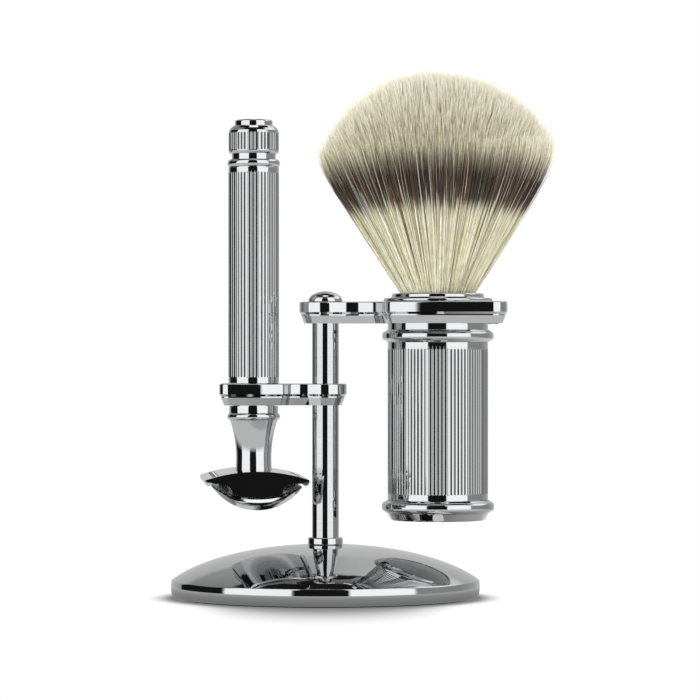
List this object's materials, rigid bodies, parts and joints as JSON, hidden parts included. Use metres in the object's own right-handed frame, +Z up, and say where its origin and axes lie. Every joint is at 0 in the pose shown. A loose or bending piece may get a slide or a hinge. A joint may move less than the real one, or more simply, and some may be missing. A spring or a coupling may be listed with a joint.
{
  "type": "shaving stand",
  "caption": "Chrome shaving stand on a weighted domed base, holding a safety razor head down and a shaving brush upright in open forks on a slim post.",
  "frame": {"origin": "on the resting surface under the middle of the post", "axes": "+Z up along the post, -X towards the razor, +X towards the brush, -Y towards the front"},
  "size_m": [0.0923, 0.0744, 0.1274],
  "materials": {
    "chrome": "mirror-polished chrome plate",
    "steel": "bright steel",
    "iron": "as cast",
    "rubber": "soft black rubber",
    "resin": "cast resin",
    "hair": "fine hair with a dark band"
  },
  "bodies": {
    "stand": {"base_shell": "chrome", "base_weight": "iron", "base_pad": "rubber", "base_screw": "steel", "base_washer": "steel", "post_collar": "chrome", "lower_post": "chrome", "upper_post": "chrome", "tie_rod": "steel", "dome_nut": "chrome", "razor_arm": "chrome", "brush_arm": "chrome"},
    "razor_head": {"razor_baseplate": "chrome", "razor_blade": "steel"},
    "razor_handle": {"razor_neck": "chrome", "razor_sleeve": "chrome", "razor_core": "steel", "razor_end_collar": "chrome", "razor_end_knob": "chrome", "razor_end_button": "chrome"},
    "blade_cap": {"razor_cap": "chrome", "razor_cap_stud": "steel"},
    "brush": {"brush_foot": "chrome", "brush_foot_ring": "chrome", "brush_sleeve": "chrome", "brush_neck": "chrome", "brush_rim": "chrome", "brush_ballast": "iron", "brush_core": "resin", "brush_socket": "resin", "brush_knot": "hair"}
  },
  "joints": [
    {"name": "razor_slide_out", "type": "slide", "parent": "stand", "child": "razor_head", "axis": [-1, 0, 0], "range_m": [0, 0.045]},
    {"name": "handle_turn", "type": "hinge", "parent": "razor_head", "child": "razor_handle", "pos_m": [-0.0173, 0, 0], "axis": [0, 0, 1], "range_deg": [0, 1890]},
    {"name": "cap_lift", "type": "slide", "parent": "razor_head", "child": "blade_cap", "axis": [0, 0, -1], "range_m": [0, 0.00421]},
    {"name": "brush_slide_out", "type": "slide", "parent": "stand", "child": "brush", "axis": [1, 0, 0], "range_m": [0, 0.045]}
  ],
  "couplings": [
    {"joint": "cap_lift", "follows": "handle_turn", "m_per_rad": 0.00012732}
  ]
}
